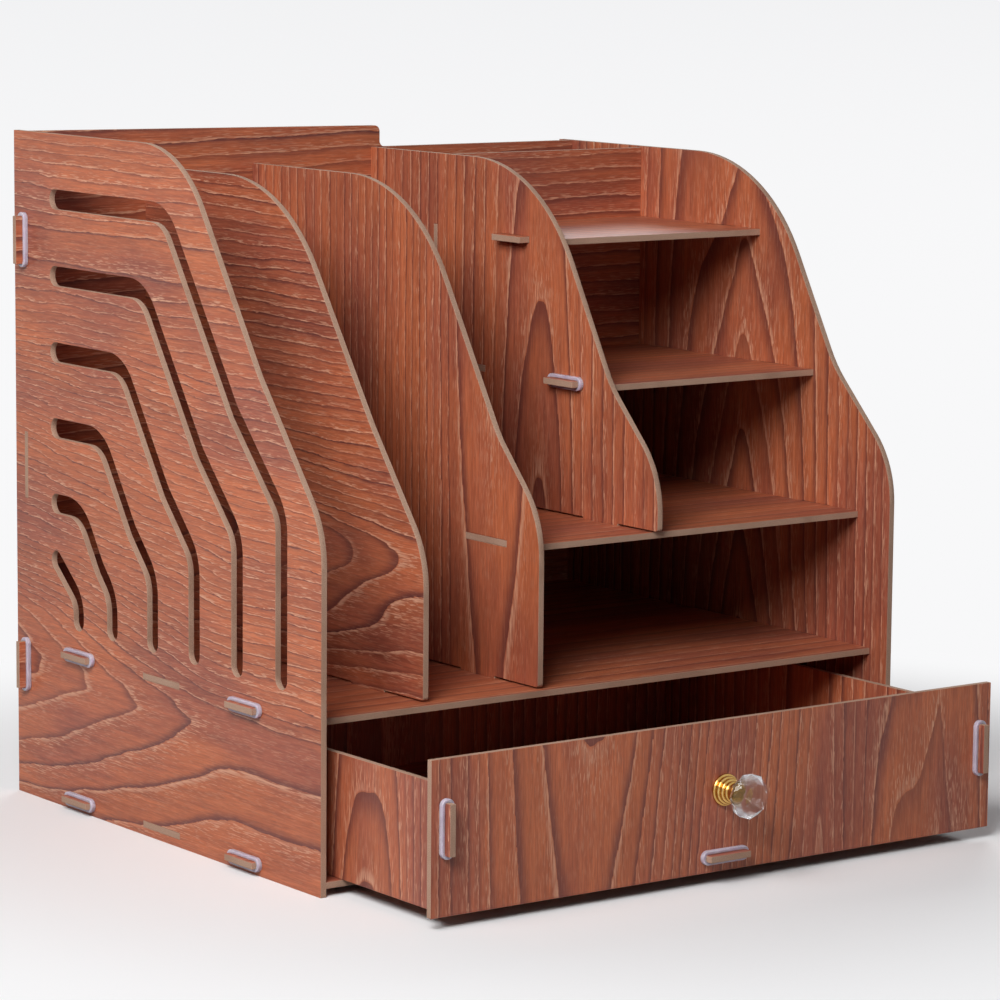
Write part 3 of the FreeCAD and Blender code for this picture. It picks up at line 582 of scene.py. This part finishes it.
# %% Ring tree
ring_tree = bpy.data.node_groups.new("locking_rings", "GeometryNodeTree")
ring_inputs = tree_inputs(ring_tree, {
    "Spots": "Geometry", "Length": "Float", "Width": "Float", "Height": "Float", "Wall": "Float",
    "Rounding": "Float", "Plastic": "Material"})
given = ring_tree.nodes.new("NodeGroupInput").outputs


def rounded_box_curve(width, height, radius, corners):
    """A closed curve: a box whose corners are arcs."""
    sides = {"Width": width, "Height": height}
    box = add(ring_tree, "GeometryNodeCurvePrimitiveQuadrilateral", sides, mode="RECTANGLE").outputs[0]
    arcs = {"Curve": box, "Count": corners, "Radius": radius, "Limit Radius": True}
    return add(ring_tree, "GeometryNodeFilletCurve", arcs, mode="POLY").outputs[0]


inner_length = math_node(ring_tree, "SUBTRACT", given["Length"], given["Wall"])
inner_width = math_node(ring_tree, "SUBTRACT", given["Width"], given["Wall"])
end_radius = math_node(ring_tree, "MULTIPLY", inner_width, 0.499)
path = rounded_box_curve(inner_length, inner_width, end_radius, 10)
section = rounded_box_curve(given["Wall"], given["Height"], given["Rounding"], 4)
one_ring = add(ring_tree, "GeometryNodeCurveToMesh", {"Curve": path, "Profile Curve": section}).outputs[0]
turn = add(ring_tree, "GeometryNodeInputNamedAttribute", {"Name": "turn"}, data_type="FLOAT_VECTOR").outputs[0]
placed = add(ring_tree, "GeometryNodeInstanceOnPoints", {
    "Points": given["Spots"], "Instance": one_ring, "Rotation": turn}).outputs[0]
end_tree(ring_tree, placed, given["Plastic"], "Rings")

# %% Set the rings
RING_WALL, RING_ROUNDING = 0.0022, 0.0004


def set_rings(name, body, *nodes):
    """All rings of some CAD nodes as one piece."""
    spots = ring_spots(nodes)
    length, width, height = spots[0][2]
    points = bpy.data.meshes.new(f"{name}_points")
    points.from_pydata([spot[0] for spot in spots], [], [])
    turns = points.attributes.new("turn", "FLOAT_VECTOR", "POINT")
    turns.data.foreach_set("vector", [angle for spot in spots for angle in spot[1]])
    source = in_scene(f"{name}_points", points)
    use_tree(source, ring_tree, ring_inputs, {
        "Length": length, "Width": width, "Height": height, "Wall": RING_WALL, "Rounding": RING_ROUNDING,
        "Plastic": ring_plastic})
    piece = plain_piece(name, source, body, "ring_plastic", *nodes)
    piece.data.shade_smooth()
    print(name, len(spots), "rings,", len(piece.data.polygons), "faces")


set_rings("carcass_rings", "carcass", "left_panel_rings", "right_panel_rings", "shelf_divider_ring")
set_rings("drawer_rings", "drawer", "drawer_front_rings", "drawer_back_rings")

# %% [markdown]
# ## Knob base
# The knob stands on a turned brass foot, plated gold: four steps that narrow towards the crystal, each with a
# round shoulder that catches the light. A lathe makes it, so here a half outline is spun round the knob's axis.

# %% Gold
GOLD_SHADES = [(0.3, colour(196, 150, 76)), (0.7, colour(218, 182, 114))]

gold, tree, shader = new_material("gold_plating")
place = millimetres(tree)
wear = noise(tree, place, (4, 4, 4), 4, 0.6)
turning = noise(tree, place, (8, 0.15, 8), 2)
plug(tree, shader, {
    "Base Color": ramp(tree, wear, GOLD_SHADES),
    "Roughness": remap(tree, wear, 0.3, 0.75, 0.12, 0.26),
    "Normal": bump(tree, turning, 0.05, 0.0001),
    "Metallic": 1.0,
})
print("gold:", gold.name)


# %% Spin a half outline
def spun_row(mesh, middle, radius, forward, segments):
    """A circle of corners round the axis, or one corner on it."""
    if radius < 1e-7:
        return [mesh.verts.new((middle.x, forward, middle.z))]
    angles = [2 * math.pi * step / segments for step in range(segments)]
    return [mesh.verts.new((middle.x + radius * math.cos(angle), forward, middle.z + radius * math.sin(angle)))
            for angle in angles]


def spun_piece(name, node, body, outline, material, segments=64):
    """Outline of (radius, place along Y) in metres, spun round the node's own axis."""
    low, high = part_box(node)
    middle = (low + high) / 2
    mesh = bmesh.new()
    rows = [spun_row(mesh, middle, radius, forward, segments) for radius, forward in outline]
    for first, second in zip(rows, rows[1:]):
        for step in range(segments):
            after = (step + 1) % segments
            corners = [first[step % len(first)], first[after % len(first)],
                       second[after % len(second)], second[step % len(second)]]
            mesh.faces.new(list(dict.fromkeys(corners)))
    bmesh.ops.recalc_face_normals(mesh, faces=mesh.faces)
    data = bpy.data.meshes.new(name)
    mesh.to_mesh(data)
    mesh.free()
    data.materials.append(material)
    piece = in_scene(name, data)
    data.shade_smooth()
    data.set_sharp_from_angle(angle=math.radians(35))
    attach(piece, body)
    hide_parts(node)
    print(name, len(data.polygons), "faces")


# %% Knob base
STEPS, STEP_LENGTH, STEP_INSET = 4, 0.0024, 0.0011
BEAD_DEPTH, BEAD_SHARE, BEAD_PARTS = 0.0009, 0.92, 8
BACK_INSET, SEAT_INSET = 0.0004, 0.0012

low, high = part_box("knob_base")
foot_radius = (high.x - low.x) / 2
outline = [(0, high.y), (foot_radius - BACK_INSET, high.y)]
for step in range(STEPS):
    radius = foot_radius - step * STEP_INSET
    back = high.y - step * STEP_LENGTH
    front = low.y if step == STEPS - 1 else back - STEP_LENGTH
    half = min(STEP_LENGTH, back - front) / 2
    for part in range(BEAD_PARTS + 1):
        angle = math.pi * part / BEAD_PARTS
        outline.append((radius - BEAD_DEPTH + BEAD_DEPTH * math.sin(angle),
                        back - half + half * BEAD_SHARE * math.cos(angle)))
outline += [(radius - BEAD_DEPTH, back - STEP_LENGTH), (radius - SEAT_INSET, front), (0, low.y)]
spun_piece("knob_foot", "knob_base", "drawer", outline, gold)

# %% [markdown]
# ## Crystal
# The handle is a clear cut crystal: rows of facets that widen from the foot to a ten-sided belly and close to
# a flat face. Facets are flat planes between rows of corners, so Geometry Nodes lay the rows as circles, every
# second one turned by half a step, and a convex hull stretches the facets between them. Glass that only bends
# light looks dark in a plain room, so a share of the light goes straight through, and facets that slant away
# from the eye get a glossy layer that sparkles.

# %% Clear crystal
CLEAR_SHADES = [(0.2, colour(250, 250, 250)), (0.8, colour(244, 247, 250))]
STRAIGHT_SHARE = 0.45

crystal_glass, tree, shader = new_material("clear_crystal")
smear = noise(tree, millimetres(tree), (5, 5, 5), 3)
plug(tree, shader, {
    "Base Color": ramp(tree, smear, CLEAR_SHADES),
    "Roughness": remap(tree, smear, 0.45, 0.8, 0.0, 0.07),
    "Transmission Weight": 1.0,
    "IOR": 1.42,
})
straight = add(tree, "ShaderNodeBsdfTransparent", {"Color": colour(250, 248, 245)}).outputs[0]
clear = add(tree, "ShaderNodeMixShader", {0: STRAIGHT_SHARE, 1: shader.outputs[0], 2: straight}).outputs[0]
slant = add(tree, "ShaderNodeLayerWeight", {"Blend": 0.5}).outputs["Facing"]
sparkle = add(tree, "ShaderNodeBsdfGlossy", {"Color": colour(252, 252, 254), "Roughness": 0.04}).outputs[0]
sparkle_share = remap(tree, slant, 0.3, 0.8, 0, 0.8)
cut = add(tree, "ShaderNodeMixShader", {0: sparkle_share, 1: clear, 2: sparkle}).outputs[0]
plug(tree, tree.nodes["Material Output"], {"Surface": cut})
print("crystal:", crystal_glass.name)

# %% Crystal tree
RIM_LENGTH = 0.0023

crystal_tree = bpy.data.node_groups.new("facet_rows", "GeometryNodeTree")
crystal_inputs = tree_inputs(crystal_tree, {
    "Start": "Geometry", "Seat Radius": "Float", "Belly Radius": "Float", "Face Radius": "Float",
    "Belly Place": "Float", "Length": "Float", "Sides": "Int", "Crystal": "Material", "Axis Start": "Vector"})
given = crystal_tree.nodes.new("NodeGroupInput").outputs


def facet_row(radius, place, half_step):
    """A circle of corners at a place along the axis, turned by half a step or not."""
    circle = add(crystal_tree, "GeometryNodeMeshCircle", {"Vertices": given["Sides"], "Radius": radius}).outputs[0]
    turn = math_node(crystal_tree, "DIVIDE", math.pi * half_step, given["Sides"])
    spin = add(crystal_tree, "ShaderNodeCombineXYZ", {2: turn}).outputs[0]
    lift = add(crystal_tree, "ShaderNodeCombineXYZ", {2: place}).outputs[0]
    placing = {"Geometry": circle, "Translation": lift, "Rotation": spin}
    return add(crystal_tree, "GeometryNodeTransform", placing).outputs[0]


def between(first, second, share):
    spread = math_node(crystal_tree, "SUBTRACT", second, first)
    return math_node(crystal_tree, "MULTIPLY_ADD", spread, share, first)


# %% Rows of facets
seat, belly, face = given["Seat Radius"], given["Belly Radius"], given["Face Radius"]
half_way = math_node(crystal_tree, "MULTIPLY", given["Belly Place"], 0.5)
rim_end = math_node(crystal_tree, "ADD", given["Belly Place"], RIM_LENGTH)
rows = [
    facet_row(seat, 0.0, 0),
    facet_row(between(seat, belly, 0.5), half_way, 1),
    facet_row(belly, given["Belly Place"], 0),
    facet_row(belly, rim_end, 1),
    facet_row(between(belly, face, 0.48), between(rim_end, given["Length"], 0.5), 0),
    facet_row(face, given["Length"], 1),
]
corners = crystal_tree.nodes.new("GeometryNodeJoinGeometry")
for row in rows:
    crystal_tree.links.new(row, corners.inputs[0])
hull = add(crystal_tree, "GeometryNodeConvexHull", {0: corners.outputs[0]}).outputs[0]
stood = add(crystal_tree, "GeometryNodeTransform", {
    "Geometry": hull, "Translation": given["Axis Start"], "Rotation": (math.pi / 2, 0, 0)}).outputs[0]
end_tree(crystal_tree, stood, given["Crystal"], "Knob")

# %% Cut the crystal
SEAT_RADIUS, FACE_RADIUS, BELLY_PLACE, FACET_SIDES = 0.006, 0.0085, 0.0085, 10

low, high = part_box("knob_crystal")
seed = in_scene("crystal_start", bpy.data.meshes.new("crystal_start"))
use_tree(seed, crystal_tree, crystal_inputs, {
    "Seat Radius": SEAT_RADIUS, "Belly Radius": (high.x - low.x) / 2, "Face Radius": FACE_RADIUS,
    "Belly Place": BELLY_PLACE, "Length": high.y - low.y, "Sides": FACET_SIDES, "Crystal": crystal_glass,
    "Axis Start": ((low.x + high.x) / 2, high.y, (low.z + high.z) / 2)})
crystal = plain_piece("knob_handle", seed, "drawer", "crystal", "knob_crystal")
print("crystal facets:", len(crystal.data.polygons))

# %% [markdown]
# ## Screw and washer
# Inside the drawer a zinc-plated screw with a round head and a small recess pulls the knob against the board,
# over a thin washer. They hardly show, but the drawer opens, so they are finished too. Both are turned parts
# and use the same spun outline as the foot.

# %% Zinc
ZINC_SHADES = [(0.3, colour(168, 170, 172)), (0.7, colour(206, 207, 208))]

zinc, tree, shader = new_material("zinc_plating")
spangle = noise(tree, millimetres(tree), (1.5, 1.5, 1.5), 4, 0.6)
plug(tree, shader, {
    "Base Color": ramp(tree, spangle, ZINC_SHADES),
    "Roughness": remap(tree, spangle, 0.3, 0.75, 0.25, 0.5),
    "Metallic": 1.0,
})
print("zinc:", zinc.name)

# %% Washer
BORE, WASHER_EDGE = 0.0021, 0.0002

low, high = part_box("knob_washer")
rim = (high.x - low.x) / 2
spun_piece("screw_washer", "knob_washer", "drawer", [
    (BORE, low.y), (rim - WASHER_EDGE, low.y), (rim, low.y + WASHER_EDGE), (rim, high.y - WASHER_EDGE),
    (rim - WASHER_EDGE, high.y), (BORE, high.y), (BORE, low.y)], zinc, 48)

# %% Screw
SHANK, TIP, HEAD_HEIGHT, HEAD_EDGE = 0.002, 0.0005, 0.0024, 0.0008
# Radius and depth below the top of the head
RECESS = [(0.0014, 0.0002), (0.0006, 0.0012), (0, 0.0014)]

low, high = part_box("knob_screw")
head_radius = (high.x - low.x) / 2
head_start = high.y - HEAD_HEIGHT
dome = [(head_radius * math.cos(math.radians(angle)),
         head_start + HEAD_EDGE + (HEAD_HEIGHT - HEAD_EDGE) * math.sin(math.radians(angle)))
        for angle in range(0, 81, 10)]
spun_piece("knob_bolt", "knob_screw", "drawer", [
    (0, low.y), (SHANK - TIP, low.y), (SHANK, low.y + TIP), (SHANK, head_start), (head_radius, head_start), *dome,
    *((radius, high.y - depth) for radius, depth in RECESS)], zinc, 32)

# %% [markdown]
# ## Floor and backdrop
# The organizer stands on a pale desk in front of a pale wall, joined by a wide curve so that no line crosses
# the picture. Near the object the paint is lit by the lamps and keeps its shadow. Farther from the object's
# middle the eye sees a set tone instead, which lights nothing. Light that bounces meets a darker paint than
# the eye does, so the floor doesn't throw too much light up at the boards.

# %% Stage paint
SEEN_PAINT = [(0.3, colour(250, 250, 251)), (0.7, colour(253, 253, 254))]
BOUNCE_PAINT = colour(170, 170, 173)
FAR_TONES = [(0, colour(248, 248, 249)), (1, colour(212, 213, 217))]
TO_MIDDLE, NEAR, FAR, TONE_HEIGHT = (0, 0.25, 0), 0.3, 0.66, 1.6


def looked_at(tree):
    """1 for rays that come from the camera, straight or by a mirror or through glass, and 0 for light."""
    rays = add(tree, "ShaderNodeLightPath").outputs
    seen = math_node(tree, "MAXIMUM", rays["Is Camera Ray"], rays["Is Glossy Ray"])
    return math_node(tree, "MAXIMUM", seen, rays["Is Transmission Ray"])


stage_paint, tree, shader = new_material("stage_paint")
place = add(tree, "ShaderNodeTexCoord").outputs["Object"]
seen = looked_at(tree)
paint = ramp(tree, noise(tree, place, (0.4, 0.4, 0.4), 2), SEEN_PAINT)
plug(tree, shader, {"Base Color": blend(tree, seen, BOUNCE_PAINT, paint), "Roughness": 0.7})
from_middle = vector_node(tree, "ADD", place, TO_MIDDLE)
distance = add(tree, "ShaderNodeVectorMath", {0: from_middle}, operation="LENGTH").outputs["Value"]
far_share = math_node(tree, "MULTIPLY", seen, remap(tree, distance, NEAR, FAR))
height = add(tree, "ShaderNodeSeparateXYZ", {0: place}).outputs[2]
tone = ramp(tree, remap(tree, height, 0.0, TONE_HEIGHT), FAR_TONES)
set_tone = add(tree, "ShaderNodeEmission", {"Color": tone}).outputs[0]
mixed = add(tree, "ShaderNodeMixShader", {0: far_share, 1: shader.outputs[0], 2: set_tone}).outputs[0]
plug(tree, tree.nodes["Material Output"], {"Surface": mixed})
print("stage paint:", stage_paint.name)

# %% Floor and backdrop
FLOOR_FRONT, WALL, CURVE, WALL_TOP, HALF_WIDTH, CURVE_PARTS = -6.0, 2.6, 1.2, 4.0, 8.0, 16

profile = [(FLOOR_FRONT, 0.0)]
for step in range(CURVE_PARTS + 1):
    angle = math.pi / 2 * step / CURVE_PARTS
    profile.append((WALL - CURVE + CURVE * math.sin(angle), CURVE - CURVE * math.cos(angle)))
profile.append((WALL, WALL_TOP))
sweep = bpy.data.meshes.new("floor_and_backdrop")
sweep.from_pydata([(x, y, z) for y, z in profile for x in (-HALF_WIDTH, HALF_WIDTH)], [],
                  [(2 * row, 2 * row + 1, 2 * row + 3, 2 * row + 2) for row in range(len(profile) - 1)])
sweep.materials.append(stage_paint)
sweep.shade_smooth()
stage = in_scene("floor_and_backdrop", sweep)
print("stage faces:", len(sweep.polygons))

# %% [markdown]
# ## Light
# Three soft round lamps light it as in a small studio. The main one stands at the front left, near enough that
# its light falls off to the right. A weaker one helps the left panel, and one behind at the right draws the
# edges. A weak even light from all round fills the shadows, and where a mirror or the camera looks past the
# stage it shows a pale room.

# %% World and lamps
AIM = Vector((0, -0.2, 0.2))
FILL_STRENGTH, ROOM_STRENGTH = 0.03, 0.9

world = bpy.data.worlds.new("studio")
bpy.context.scene.world = world
world.use_nodes = True
tree = world.node_tree
plug(tree, tree.nodes["Background"], {
    "Color": colour(235, 238, 245),
    "Strength": remap(tree, looked_at(tree), 0, 1, FILL_STRENGTH, ROOM_STRENGTH),
})


def soft_lamp(name, place, size, power):
    """A round lamp that looks at the organizer."""
    lamp = bpy.data.lights.new(name, "AREA")
    lamp.shape = "DISK"
    lamp.size = size
    lamp.energy = power
    place = Vector(place)
    facing = (AIM - place).to_track_quat("-Z", "Y")
    in_scene(name, lamp).matrix_world = Matrix.Translation(place) @ facing.to_matrix().to_4x4()
    print(name, power, "W")


soft_lamp("key_lamp", (-1.35, -1.25, 1.35), 1.0, 34)
soft_lamp("side_lamp", (-1.5, -0.5, 1.5), 1.0, 10)
soft_lamp("back_lamp", (1.6, 1.4, 1.6), 1.2, 14)

bpy.context.scene.view_settings.view_transform = "Standard"
